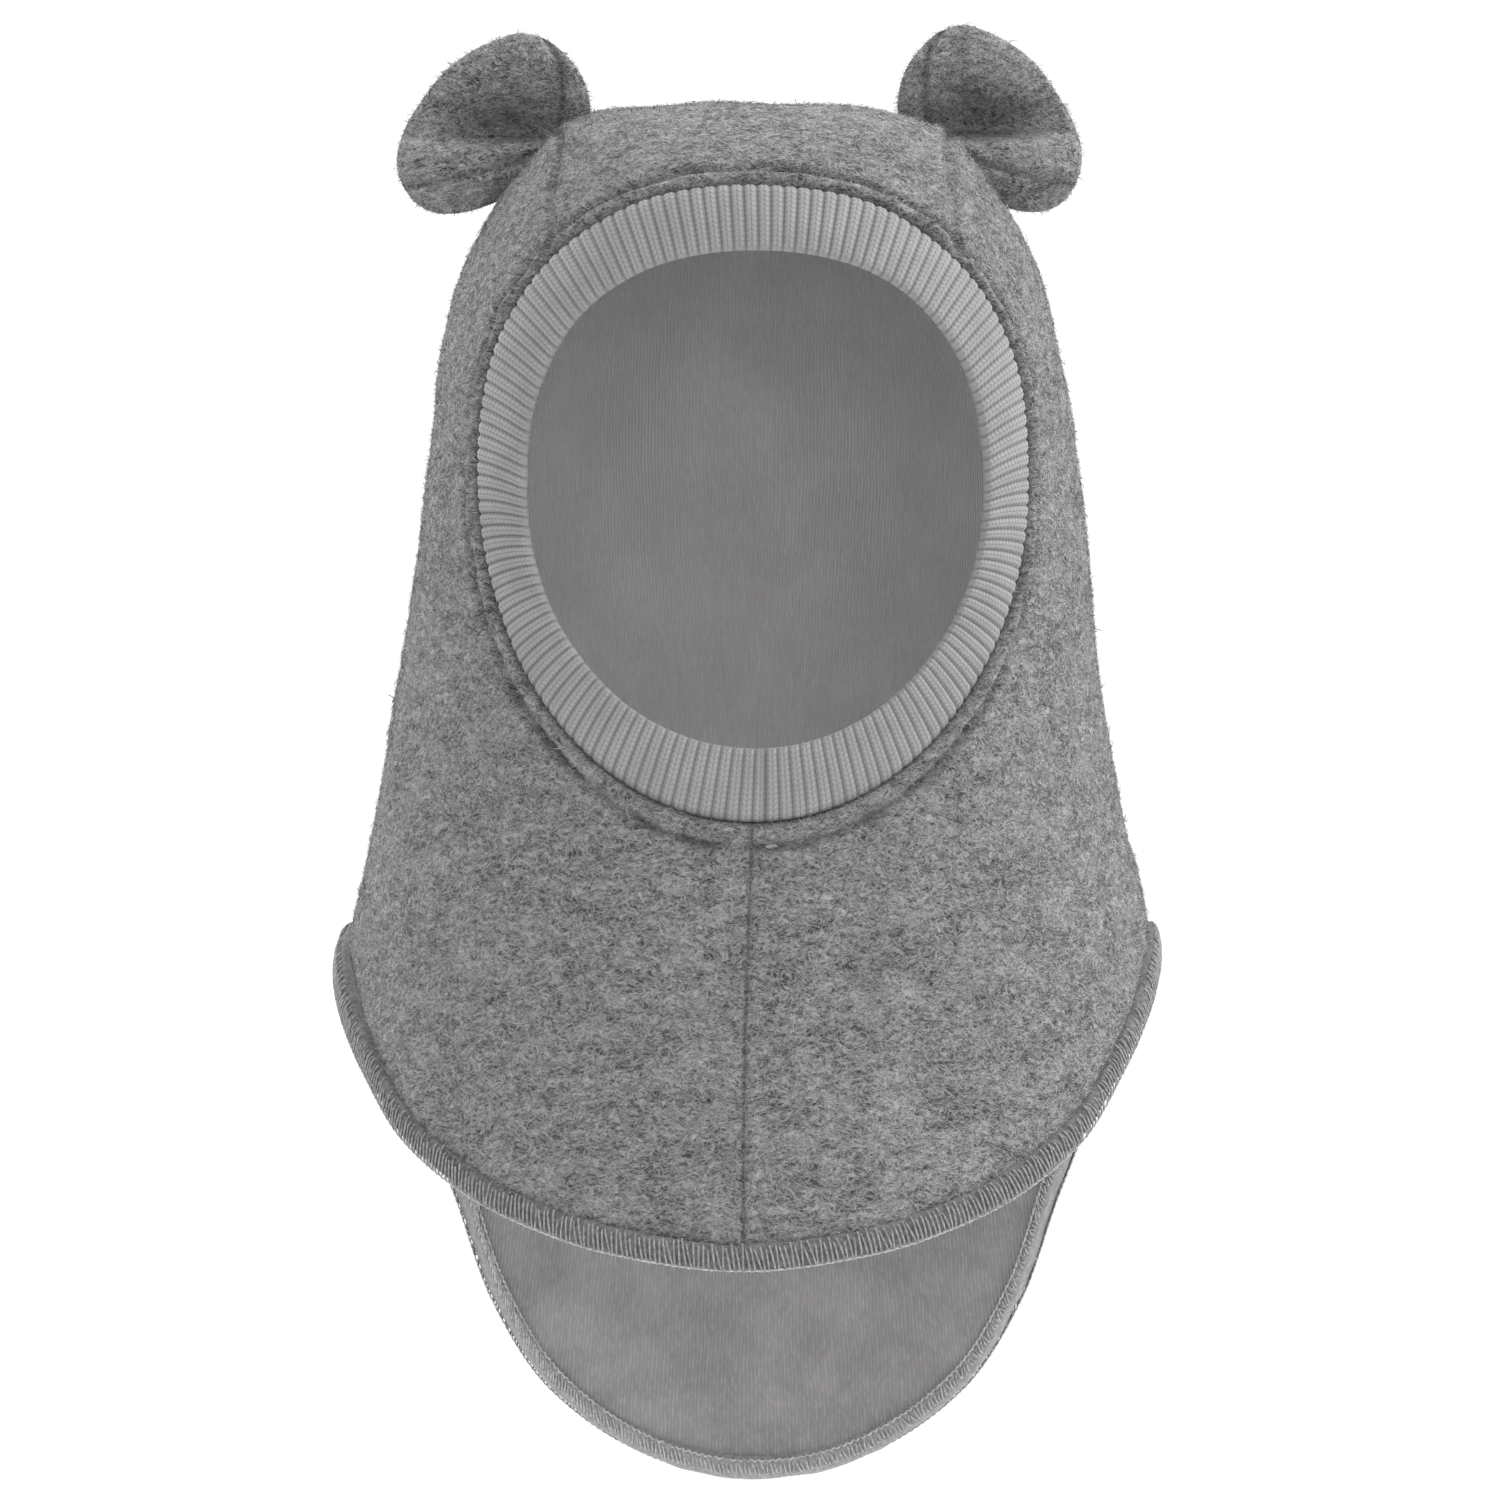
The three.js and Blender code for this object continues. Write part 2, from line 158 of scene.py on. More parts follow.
def body_chart(way, down):
    """Chart places of the body cloth, from the face opening (down 0) to the hem (down 1)."""
    u0, v0 = face_rim(BAND_OUTER, way)
    turn = 90 - 180 * np.abs(way)
    arc = along(ROUNDS, DROP, along(HEM, 0, turn, 1), ARC)
    u1 = np.sign(way) * arc * np.cos(np.radians(turn))
    v1 = arc * np.sin(np.radians(turn))
    bow = 2 * down * (1 - down) * CROWN_PULL * np.sin(2 * np.pi * np.clip(way, -0.5, 0.5))
    return u0 + (u1 - u0) * down - bow, v0 + (v1 - v0) * down


def body_point(way, down, depth):
    """Points of the body cloth at a depth below its outside."""
    return inside(*body_chart(way, down), depth)


def down_per_mm(way, down):
    """How far down changes in one millimetre of cloth."""
    step = body_point(way, down + 0.001, 0 * way) - body_point(way, down - 0.001, 0 * way)
    return 0.002 / np.linalg.norm(step, axis=-1)


def lumps(points, size, seed, count=18):
    """Smooth seeded unevenness from -1 to 1 over space, with bumps about size across."""
    rng = np.random.default_rng(seed)
    waves = rng.normal(0, 1, (count, 3))
    waves *= (math.pi / size) * rng.uniform(0.6, 1.4, (count, 1)) / np.linalg.norm(waves, axis=1, keepdims=True)
    phase = rng.uniform(0, 2 * math.pi, count)
    return np.sin(points @ waves.T + phase).sum(-1) / math.sqrt(count)


def crowd(count, ends):
    """Places from 0 to 1, closer together towards both ends."""
    x = np.linspace(0, 1, count)
    return x - ends * np.sin(2 * np.pi * x) / (2 * np.pi)


def make_mesh(name, points, faces, smooth=True):
    """A mesh object on the root body, from points in millimetres."""
    mesh = bpy.data.meshes.new(name)
    mesh.from_pydata((np.asarray(points).reshape(-1, 3) * 0.001).tolist(), [], np.asarray(faces).tolist())
    mesh.polygons.foreach_set("use_smooth", [smooth] * len(mesh.polygons))
    mesh.update()
    made = bpy.data.objects.new(name, mesh)
    bpy.context.scene.collection.objects.link(made)
    return made


def grid_faces(rows, columns, round_rows=False, round_columns=False):
    """Quads over a grid of points, joined up where it is round."""
    i = np.arange(rows if round_rows else rows - 1)[:, None]
    j = np.arange(columns if round_columns else columns - 1)[None, :]
    i2, j2 = (i + 1) % rows, (j + 1) % columns
    quad = [i * columns + j, i2 * columns + j, i2 * columns + j2, i * columns + j2]
    return np.stack([np.broadcast_to(q, (i.size, j.size)) for q in quad], -1).reshape(-1, 4)


def add_value(obj, name, values):
    """A number for each vertex that a material can read."""
    store = obj.data.attributes.new(name, "FLOAT", "POINT")
    store.data.foreach_set("value", np.asarray(values, np.float32).ravel())


class Val:
    """A shader socket that does arithmetic, so that maths reads as maths."""

    def __init__(self, socket):
        self.socket = socket

    def math(self, kind, *others):
        tree = self.socket.id_data
        made = tree.nodes.new("ShaderNodeMath")
        made.operation = kind
        for slot, value in zip(made.inputs, (self, *others)):
            if isinstance(value, Val):
                tree.links.new(value.socket, slot)
            else:
                slot.default_value = value
        return Val(made.outputs[0])

    def flipped(self, kind, other):
        """other (kind) self, for a plain number on the left."""
        if kind == "SUBTRACT":
            return self.math("MULTIPLY", -1).math("ADD", other)
        return self.math("POWER", -1).math("MULTIPLY", other)

    def __add__(self, other): return self.math("ADD", other)
    def __radd__(self, other): return self.math("ADD", other)
    def __sub__(self, other): return self.math("SUBTRACT", other)
    def __rsub__(self, other): return self.flipped("SUBTRACT", other)
    def __mul__(self, other): return self.math("MULTIPLY", other)
    def __rmul__(self, other): return self.math("MULTIPLY", other)
    def __truediv__(self, other): return self.math("DIVIDE", other)
    def __rtruediv__(self, other): return self.flipped("DIVIDE", other)
    def __pow__(self, other): return self.math("POWER", other)
    def __neg__(self): return self.math("MULTIPLY", -1)


class Look:
    """One procedural material; node() makes every node that isn't plain arithmetic."""

    def __init__(self, name, **constants):
        self.material = bpy.data.materials.new(name)
        self.material.use_nodes = True
        self.tree = self.material.node_tree
        self.shader = self.tree.nodes["Principled BSDF"]
        for key, value in constants.items():
            self.shader.inputs[key.replace("_", " ")].default_value = value

    def node(self, kind, settings=None, inputs=None, out=0):
        made = self.tree.nodes.new(kind)
        for key, value in (settings or {}).items():
            setattr(made, key, value)
        for key, value in (inputs or {}).items():
            if isinstance(value, Val):
                self.tree.links.new(value.socket, made.inputs[key])
            else:
                made.inputs[key].default_value = value
        return Val(made.outputs[out])

    def place(self):
        """The surface point in millimetres, in the hood's own frame."""
        raw = self.node("ShaderNodeTexCoord", out="Object")
        return self.node("ShaderNodeVectorMath", {"operation": "SCALE"}, {0: raw, "Scale": 1000.0})

    def scaled(self, vector, factors):
        return self.node("ShaderNodeVectorMath", {"operation": "MULTIPLY"}, {0: vector, 1: factors})

    def noise(self, vector, scale, detail=2.0, rough=0.5, out="Fac"):
        values = {"Vector": vector, "Scale": scale, "Detail": detail, "Roughness": rough}
        return self.node("ShaderNodeTexNoise", None, values, out)

    def warped(self, vector, scale, amount):
        """The vector pushed about by a slow swirl."""
        swirl = self.noise(vector, scale, 1.0, out="Color")
        centred = self.node("ShaderNodeVectorMath", {"operation": "SUBTRACT"}, {0: swirl, 1: (0.5, 0.5, 0.5)})
        push = self.node("ShaderNodeVectorMath", {"operation": "SCALE"}, {0: centred, "Scale": amount})
        return self.node("ShaderNodeVectorMath", {"operation": "ADD"}, {0: vector, 1: push})

    def between(self, value, low, high):
        """The value stretched so that low becomes 0 and high becomes 1, held at both ends."""
        settings = {"interpolation_type": "SMOOTHSTEP"}
        return self.node("ShaderNodeMapRange", settings, {"Value": value, "From Min": low, "From Max": high})

    def blend(self, factor, first, second):
        return self.node("ShaderNodeMix", {"data_type": "RGBA"}, {0: factor, 6: first, 7: second}, 2)

    def attribute(self, name):
        return self.node("ShaderNodeAttribute", {"attribute_name": name}, out="Fac")

    def finish(self, colour, height=None, reach=0.001, strength=1.0):
        """Colour and bump go to the shader; reach is the bump's depth in metres."""
        self.tree.links.new(colour.socket, self.shader.inputs["Base Color"])
        if height is not None:
            bump = self.node("ShaderNodeBump", None, {"Height": height, "Distance": reach, "Strength": strength}, "Normal")
            self.tree.links.new(bump.socket, self.shader.inputs["Normal"])
        return self.material


def grey(level, warm=0.0, rose=0.0):
    """A grey with a slight warm or rose cast."""
    return (level * (1 + warm), level * (1 - rose), level * (1 - warm), 1.0)


WOOL_DARK, WOOL_LIGHT = 0.03, 0.207


def wool_tone(look, place):
    """The mottle of light and dark wool, 0 to 1, in streaks that lie mostly level."""
    cloud = look.noise(look.scaled(look.warped(place, 0.04, 12), (1, 1, 1.6)), 0.07, 2.0, 0.55)
    clump = look.noise(look.scaled(look.warped(place, 0.11, 8), (1, 1, 2.9)), 0.19, 3.0, 0.6)
    tuft = look.noise(look.scaled(look.warped(place, 0.3, 3), (1, 1, 2.6)), 0.78, 2.0, 0.65)
    return cloud * 0.2 + clump * 0.41 + tuft * 0.39


def wool_strands(look, place, scale, lay, turn):
    """Single curly strands: thin lines where a stretched noise passes its middle."""
    settings = {"rotation_type": "AXIS_ANGLE"}
    turned = look.node("ShaderNodeVectorRotate", settings, {"Vector": place, "Axis": (0.3, 0.9, 0.2), "Angle": turn})
    field = look.noise(look.scaled(look.warped(turned, 0.24, 5), (1, 1, lay)), scale, 1.0, 0.5)
    return look.between((field - 0.5).math("ABSOLUTE"), 0.085, 0.01)


def wool_look(name, shade=1.0):
    """Brushed melange wool: light and dark strands over a mottled felted ground."""
    look = Look(name, Roughness=0.95, Sheen_Weight=0.22, Sheen_Roughness=0.5, Specular_IOR_Level=0.06)
    place = look.place()
    # shade scales every colour of the wool; above 1 it makes a lighter copy of the same wool, painted light.
    tone = look.between(wool_tone(look, place), 0.39, 0.625)
    ground = look.blend(tone, grey(WOOL_DARK * shade), grey(WOOL_LIGHT * shade, 0.004))
    light = wool_strands(look, place, 0.34, 2.8, 0.25).math("MAXIMUM", wool_strands(look, place, 0.43, 2.4, -0.5))
    dark = wool_strands(look, place, 0.38, 2.6, 0.7)
    colour = look.blend(dark * 0.5, ground, grey(WOOL_DARK * 0.6 * shade))
    colour = look.blend(light * 0.46, colour, grey(WOOL_LIGHT * 1.6 * shade, 0.004))
    # Painted shade: the crease value darkens the wool towards near black in seam valleys, creases and along the hem.
    colour = look.blend(look.attribute("crease_shade") * 0.8, colour, grey(WOOL_DARK * 0.5 * shade))
    pile = look.noise(look.warped(place, 0.3, 3), 0.9, 3.0, 0.65)
    return look.finish(colour, light * 0.3 + pile * 0.7, 0.0016, 1.0)


def seam_sink(distance, depth, width, swell, swell_at):
    """Depth of a sewn seam: a narrow valley with soft swollen cloth beside it."""
    valley = depth * np.exp(-((distance / width) ** 2))
    return valley - swell * np.exp(-(((distance - swell_at) / (swell_at * 0.6)) ** 2))


def wool_panel(name, start, end, across, down_steps, seams):
    """One panel of wool; seams says how its two long edges are sewn (depth, width, swell, at)."""
    ways = start + (end - start) * crowd(across, 0.72)
    shares = crowd(down_steps, 0.72)
    way = np.repeat(ways[:, None], down_steps, 1)
    first = 0.15 * down_per_mm(ways, 0 * ways + 0.002)
    last = 1 - (HEM_HEIGHT - 1.2) * down_per_mm(ways, 0 * ways + 0.998)
    down = first[:, None] + (last - first)[:, None] * shares[None, :]
    flat = body_point(way, down, 0 * way)
    step_down = np.linalg.norm(np.diff(flat, axis=1), axis=-1)
    from_band = np.concatenate([np.zeros((across, 1)), np.cumsum(step_down, 1)], 1)
    from_hem = from_band[:, -1:] - from_band
    step_across = np.linalg.norm(np.diff(flat, axis=0), axis=-1)
    from_start = np.concatenate([np.zeros((1, down_steps)), np.cumsum(step_across, 0)], 0)
    from_end = from_start[-1:] - from_start
    soft = lumps(flat, 16, 3)
    fine = lumps(flat, 4.5, 4)
    wide = lumps(flat, 42, 5)
    lip = 1 + 0.25 * lumps(flat, 7, 6)
    rest = lumps(flat, 30, 7)
    depth = 0.95 + 0.3 * soft + 0.16 * fine + 0.7 * wide * np.clip(from_band / 40, 0, 1)
    depth += seam_sink(from_band, 2.8, 0.9, 0.0, 1.0)
    depth -= (1.75 * lip + 0.55 * fine) * np.exp(-(((from_band - 2.9) / 1.9) ** 2))
    channel = np.clip(0.75 + 0.45 * rest + 0.3 * fine, 0.1, 1.4)
    depth += 1.9 * channel * np.exp(-(((from_band - 6.7) / 1.4) ** 2))
    depth += 1.1 * np.exp(-((from_hem / 2.4) ** 2))
    # Painted shade for the material: darker in the valley at the band seam, in the stitch channel, along the hem and
    # in each seam valley.
    crease_shade = np.exp(-((from_band / 0.8) ** 2)) + 0.62 * channel * np.exp(-(((from_band - 6.7) / 0.9) ** 2))
    crease_shade += 0.8 * np.exp(-((from_hem / 1.3) ** 2))
    for distance, (sink, width, swell, at) in zip((from_start, from_end), seams):
        depth += seam_sink(distance, sink, width, swell * lip, at)
        crease_shade += 0.27 / width * np.exp(-((distance / (width * 0.6)) ** 2))
    points = body_point(way, down, depth)
    made = make_mesh(name, points, grid_faces(across, down_steps))
    add_value(made, "crease_shade", np.clip(crease_shade, 0, 1))
    made.data.materials.append(WOOL)
    return made, points, depth


WOOL = wool_look("brushed_wool")
FINE_SEAM = (1.0, 0.62, 0.3, 2.2)
SOFT_SEAM = (1.3, 1.7, 0.5, 4.2)
WOOL_PANELS = {
    "crown_centre_panel": (-CROWN_SEAM, CROWN_SEAM, 116, 260, (SOFT_SEAM, SOFT_SEAM), (0.18, 0.5)),
    "side_panel_left": (CROWN_SEAM, 1.0, 150, 170, (SOFT_SEAM, FINE_SEAM), (0.31, 0.29)),
    "side_panel_right": (-1.0, -CROWN_SEAM, 150, 170, (FINE_SEAM, SOFT_SEAM), (0.31, 0.29)),
}
wool_grids = {}
for node, (start, end, across, down_steps, seams, flat_size) in WOOL_PANELS.items():
    panel, points, _ = wool_panel("wool_" + node, start, end, across, down_steps, seams)
    wool_grids[node] = points
    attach(panel, "root")
    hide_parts(node)


# Lining: short grey velour with fine vertical wales, cut like the wool and sewn to it only at
# the face band and the hem. It is the whole inside of the hood and of the long back bib.
LINING_GREY = 0.18


def lining_look():
    look = Look("velour_lining", Roughness=0.8, Sheen_Weight=0.55, Sheen_Roughness=0.45, Specular_IOR_Level=0.15)
    place = look.place()
    across = look.attribute("across")
    wander = look.noise(place, 0.06, 1.0) * 1.6
    wale = ((across + wander) * (2 * math.pi / 0.95)).math("SINE") * 0.5 + 0.5
    cloud = look.noise(look.warped(place, 0.03, 14), 0.05, 3.0, 0.55)
    nap = look.noise(look.scaled(place, (1, 1, 0.4)), 1.6, 3.0, 0.7)
    tone = look.between(cloud * 0.72 + nap * 0.28, 0.36, 0.66)
    base = look.blend(tone, grey(LINING_GREY * 0.8, 0.009, 0.02), grey(LINING_GREY * 1.2, 0.009, 0.02))
    broken = look.between(look.noise(look.scaled(place, (1.4, 1.4, 0.5)), 0.7, 2.0, 0.6), 0.3, 0.7)
    ribs = look.blend(wale * broken, grey(LINING_GREY * 0.7, 0.009, 0.02), grey(LINING_GREY * 1.45, 0.009, 0.02))
    colour = look.blend(0.45, base, ribs)
    # Painted light: a much lighter copy of the velour colour, mixed in by the painted light value set higher inside
    # the head.
    painted_light_inside = look.blend(0.34, colour, grey(LINING_GREY * 3.5, 0.009, 0.02))
    return look.finish(look.blend(look.attribute("painted_light_inside"), colour, painted_light_inside), wale * 0.5 + nap * 0.5, 0.0005, 0.8)


around, deep = 220, 90
ways = np.linspace(-1, 1, around, endpoint=False)
way = np.repeat(ways[:, None], deep, 1)
last = 1 - (HEM_HEIGHT - 1.5) * down_per_mm(ways, 0 * ways + 0.998)
down = 0.002 + (last - 0.002)[:, None] * np.linspace(0, 1, deep)[None, :]
flat = body_point(way, down, 0 * way + 4)
ripple = 0.45 * lumps(flat, 30, 11) + 0.2 * lumps(flat, 12, 12)
step_down = np.linalg.norm(np.diff(flat, axis=1), axis=-1)
from_hem = np.concatenate([np.cumsum(step_down[:, ::-1], 1)[:, ::-1], np.zeros((around, 1))], 1)
ripple += (0.9 + 0.5 * lumps(flat, 40, 13)) * np.exp(-(((from_hem - 19) / 5) ** 2))
points = body_point(way, down, WALL - 0.7 + ripple)
lining = make_mesh("velour_lining", points, grid_faces(around, deep, True)[:, ::-1])
add_value(lining, "across", np.unwrap(np.arctan2(flat[..., 1], flat[..., 0]), axis=0) * 96)
# The lining is painted lighter above a height, inside the head, and left darker down the bibs: painted light,
# standing in for the light that reaches the inside through the face opening.
height = flat[..., 2]
painted_light_inside = 0.82 / (1 + np.exp(-(height + 250) / 10))
add_value(lining, "painted_light_inside", painted_light_inside)
lining.data.materials.append(lining_look())
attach(lining, "root")
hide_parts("lining")


# Face rib band: a light grey rib knit tube, folded double, stretched round the face opening and
# sewn in between wool and lining. Each rib is a pair of knit wales with a deep groove beside it.
RIBS = 142
RIB_GREY = 0.213


def rib_look():
    look = Look("rib_knit", Roughness=0.9, Sheen_Weight=0.2, Sheen_Roughness=0.5, Specular_IOR_Level=0.12)
    place = look.place()
    rib = look.attribute("rib")
    outward = look.attribute("outward")
    phase = rib.math("FRACT")
    centre = (phase - 0.5).math("ABSOLUTE")
    slant = (phase * 2).math("PINGPONG", 0.5)
    stitch = ((outward / 1.5 + slant * 1.1) * (2 * math.pi)).math("SINE") * 0.5 + 0.5
    groove_shade = look.between(centre, 0.27, 0.48)
    middle = look.between(centre, 0.1, 0.0)
    fuzz = look.noise(place, 2.2, 3.0, 0.6)
    slub = look.noise(look.warped(place, 0.1, 5), 0.12, 2.0, 0.5)
    tone = look.between(slub * 0.5 + fuzz * 0.5, 0.35, 0.65)
    light = look.blend(tone, grey(RIB_GREY * 0.9, -0.004), grey(RIB_GREY * 1.1, -0.004))
    knit = look.blend(stitch * 0.45, light, grey(RIB_GREY * 0.62, -0.004))
    # Painted shade: the colour is darkened in the groove beside each rib, in the dip down its middle, and where the
    # crease value is high.
    colour = look.blend(groove_shade * 0.7 + middle * 0.42, knit, grey(RIB_GREY * 0.33, -0.004))
    colour = look.blend(look.attribute("crease_shade") * 0.75, colour, grey(RIB_GREY * 0.25))
    return look.finish(colour, stitch * 0.6 + fuzz * 0.4, 0.0003, 0.7)


def band_points(way, share, depth):
    """Points of the band: share 0 at the free fold, 1 at the join seam."""
    u0, v0 = face_rim(BAND_INNER, way)
    u1, v1 = face_rim(BAND_OUTER, way)
    return inside(u0 + (u1 - u0) * share, v0 + (v1 - v0) * share, depth)


per_rib, out_steps = 10, 18
columns = RIBS * per_rib
# Ribs are spread evenly along the outer loop.
tries = np.linspace(-1, 1, 4001)
loop = band_points(tries, 0 * tries + 1, 0 * tries)
length = np.concatenate([[0], np.cumsum(np.linalg.norm(np.diff(loop, axis=0), axis=-1))])
band_ways = np.interp(np.linspace(0, length[-1], columns, endpoint=False), length, tries)
turn_steps = 7
turn = np.linspace(0, np.pi, turn_steps)[1:]
face_share = np.linspace(1.03, 0.03, out_steps)
rows_share = np.concatenate([face_share, 0.03 - 0.055 * np.sin(turn), np.linspace(0.03, 1.0, 5)[1:]])
rib_phase = (np.arange(columns) % per_rib) / per_rib
profile = np.abs(np.cos((rib_phase - 0.5) * np.pi)) ** 0.9 - 0.3 * np.exp(-(((rib_phase - 0.5) / 0.1) ** 2))
way = np.repeat(band_ways[:, None], len(rows_share), 1)
share = np.repeat(rows_share[None, :], columns, 0)
base = 0.5 + 1.5 * (1 - np.clip(share, 0, 1)) ** 2 + 1.3 * np.exp(-(((share - 1.03) / 0.06) ** 2))
back = np.zeros(len(rows_share))
back[out_steps:] = np.concatenate([1.15 * (1 - np.cos(turn)), np.full(4, 2.3)])
lift = np.repeat(profile[:, None], len(rows_share), 1) * 0.85
lift[:, out_steps + 3:] *= 0.3
wobble = 0.25 * lumps(band_points(way, share, 0 * way), 14, 21)
depth = base + back[None, :] - lift * np.where(back[None, :] > 1.2, -0.3, 1) + wobble
points = band_points(way, share, depth)
band = make_mesh("rib_face_band", points, grid_faces(columns, len(rows_share), True)[:, ::-1])
closing = np.exp(-(((band_ways - 0.988) * 260 / 0.55) ** 2))
add_value(band, "rib", np.repeat(((np.arange(columns) % per_rib) / per_rib)[:, None], len(rows_share), 1))
add_value(band, "outward", share * 19)
# Painted shade for the material: a dark line along the join seam with the wool and across the band's closing seam.
crease_shade = np.exp(-((1.03 - share) / 0.035) ** 2) + closing[:, None] * 0.8
add_value(band, "crease_shade", np.clip(crease_shade, 0, 1))
band.data.materials.append(rib_look())
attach(band, "root")
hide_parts("face_rib_band")


# Hem: the raw edges of wool and lining are trimmed together and overlocked, so the edge is a
# flat bead of pressed wool under close stitches that stand square to the edge.
def hem_tone_look(name, level, streak, inner_level=None):
    look = Look(name, Roughness=0.9, Sheen_Weight=0.15, Specular_IOR_Level=0.12)
    place = look.place()
    tone = look.between(look.noise(place, streak, 3.0, 0.6), 0.35, 0.65)
    colour = look.blend(tone, grey(level * 0.72), grey(level * 1.3))
    if inner_level:
        velour = look.blend(tone, grey(inner_level * 0.85, 0.009, 0.02), grey(inner_level * 1.15, 0.009, 0.02))
        colour = look.blend(look.attribute("inner_face"), colour, velour)
    return look.finish(colour, look.noise(place, 2.5, 2.0), 0.0003, 0.6)


hem_around = 900
tries = np.linspace(-1, 1, 4001)
loop = body_point(tries, 0 * tries + 1, 0 * tries)
hem_length = np.concatenate([[0], np.cumsum(np.linalg.norm(np.diff(loop, axis=0), axis=-1))])


def hem_ways(count, shift=0.0):
    """Ways round for evenly spaced places along the hem."""
    return np.interp((np.arange(count) + shift) / count * hem_length[-1], hem_length, tries)


def hem_point(way, up, depth):
    """Points by the hem: up in millimetres above the lower edge."""
    return body_point(way, 1 - up * down_per_mm(way, 0 * way + 0.998), depth)


HEM_SECTION = (
    (6.6, 1.2), (6.0, 0.1), (4.6, -0.5), (2.4, -0.6), (0.9, -0.3), (0.1, 0.8), (-0.1, 2.2),
    (0.1, 3.6), (0.9, 4.5), (2.4, 4.8), (4.6, 4.8), (6.0, 4.5), (6.6, 3.6),
)
ways = hem_ways(hem_around)
bead = []
for up, depth in HEM_SECTION:
    spot = hem_point(ways, 0 * ways + up, 0 * ways + depth)
    bead.append(hem_point(ways, up + 0.2 * lumps(spot, 5, 31), depth + 0.18 * lumps(spot, 4, 32)))
points = np.stack(bead, 1)
hem = make_mesh("hem_bead", points, grid_faces(hem_around, len(HEM_SECTION), True, True))
inner_face = np.array([np.clip((depth - 1.2) / 2, 0, 1) for _, depth in HEM_SECTION])
add_value(hem, "inner_face", np.repeat(inner_face[None], hem_around, 0))
hem.data.materials.append(hem_tone_look("pressed_wool_edge", 0.088, 0.8, 0.2))
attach(hem, "root")
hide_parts("hem_overlock")


# Overlock thread: fine grey polyester in a row of short stitches on both faces of the hem, with
# a chain along their inner ends and looper threads that cross over the very edge.
def tubes(name, lines, radius, sides=5):
    """One mesh of thin threads; lines is (thread, point along, xyz) in millimetres."""
    count, steps, _ = lines.shape
    forward = unit(np.gradient(lines, axis=1))
    helper = unit(np.cross(forward, np.array([0.31, 0.52, 0.79])))
    other = np.cross(forward, helper)
    a = np.linspace(0, 2 * np.pi, sides, endpoint=False)
    ring = np.cos(a)[:, None] * helper[:, :, None] + np.sin(a)[:, None] * other[:, :, None]
    points = lines[:, :, None] + radius * ring
    one = grid_faces(steps, sides, False, True)
    faces = (one[None] + (np.arange(count) * steps * sides)[:, None, None]).reshape(-1, 4)
    return make_mesh(name, points, faces)


stitches = 690
rng = np.random.default_rng(41)
thread = hem_tone_look("overlock_thread", 0.18, 1.1)
pale_thread = hem_tone_look("overlock_thread_inside", 0.27, 1.1)
# Faces of the hem: side of the cloth, depth of its surface, how far up a stitch starts and ends.
for name, sign, face, low, high in (
    ("overlock_stitches_outside", -1, -0.75, -0.15, 6.1),
    ("overlock_stitches_inside", 1, 4.95, 1.5, 5.5),
):
    start = hem_ways(stitches, 0.0 if sign < 0 else 0.5)
    lean = rng.normal(0, 0.00028, stitches) - sign * 0.0005
    reach = np.linspace(0, 1, 6)
    slow = lumps(hem_point(start, 0 * start + 3, 0 * start), 9, 42)
    way = start[:, None] + lean[:, None] * (reach - 0.5)[None, :] * 6
    top = high + rng.normal(0, 0.25, stitches) + 0.3 * slow - 0.7 * (np.arange(stitches) % 2)
    bottom = low + rng.normal(0, 0.08, stitches)
    up = bottom[:, None] + (top - bottom)[:, None] * reach[None, :]
    bow = np.sin(np.pi * reach)[None, :] * (0.16 + rng.normal(0, 0.06, (stitches, 1)))
    depth = face + sign * bow - sign * 0.75 * (reach[None, :] > 0.95) - sign * 0.5 * (reach[None, :] < 0.05)
    made = tubes(name, hem_point(way, up, depth), 0.27)
    made.data.materials.append(thread if sign < 0 else pale_thread)
    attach(made, "root")

links = 430
for name, up, face, radius, wave in (
    ("overlock_chain_inside", 5.7, 5.1, 0.36, 0.3), ("overlock_edge_thread", -0.35, -0.1, 0.24, 0.12)
):
    fine = hem_ways(links * 4)
    swing = np.sin(np.arange(links * 4) * np.pi / 2)
    line = hem_point(fine, up + wave * swing, face + 0.12 * np.cos(np.arange(links * 4) * np.pi / 2))
    line = np.concatenate([line, line[:1]])[None]
    made = tubes(name, line, radius)
    made.data.materials.append(pale_thread)
    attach(made, "root")


# Ears: two layers of the same wool, sewn round the outline, turned, folded along a level crease
# and caught in at the crown. The upper flap and the lower roll both curl towards the face.
EAR_OUTLINE = np.array([
    (39, 2.7), (38.7, 8), (40.3, 13.9), (43.7, 19.2), (48.7, 23.9), (55.2, 26.2), (61, 24.8),
    (66.7, 22), (71.9, 18.4), (76.1, 14.2), (80.8, 7.4), (84.5, 0.6), (86.4, -6.5), (86.2, -11.5),
    (84.5, -16.1), (81.8, -19.6), (77.7, -21.8), (72.7, -22.2), (66, -20.8), (58, -17),
    (50, -11.5), (43.5, -4),
], float)
EAR_MIDDLE = np.array([61.0, -1.0])
EAR_POCKET_Z = -1.5
EAR_Y = 17.0


def ear_forward(x, z):
    """How far the middle of the ear lies in front of its root line."""
    up = z - EAR_POCKET_Z
    tall = np.where(up > 0, 12.0, 2.4)
    pocket = np.exp(-(((x - 58) / 19) ** 2) - (up / tall) ** 2)
    roll = np.clip((-up - 10) / 10, 0, 1)
    return 9.5 - 14 * pocket - 7 * roll * roll * (3 - 2 * roll)


def seam_distance(x, z, line):
    """How far points of the ear's plane lie from a seam, a bent line of points."""
    spot = np.stack([x, z], -1)
    best = np.full(x.shape, 1e9)
    for a, b in zip(line[:-1], line[1:]):
        a, b = np.array(a, float), np.array(b, float)
        t = np.clip(((spot - a) @ (b - a)) / ((b - a) @ (b - a)), 0, 1)
        best = np.minimum(best, np.linalg.norm(spot - a - t[..., None] * (b - a), axis=-1))
    return best


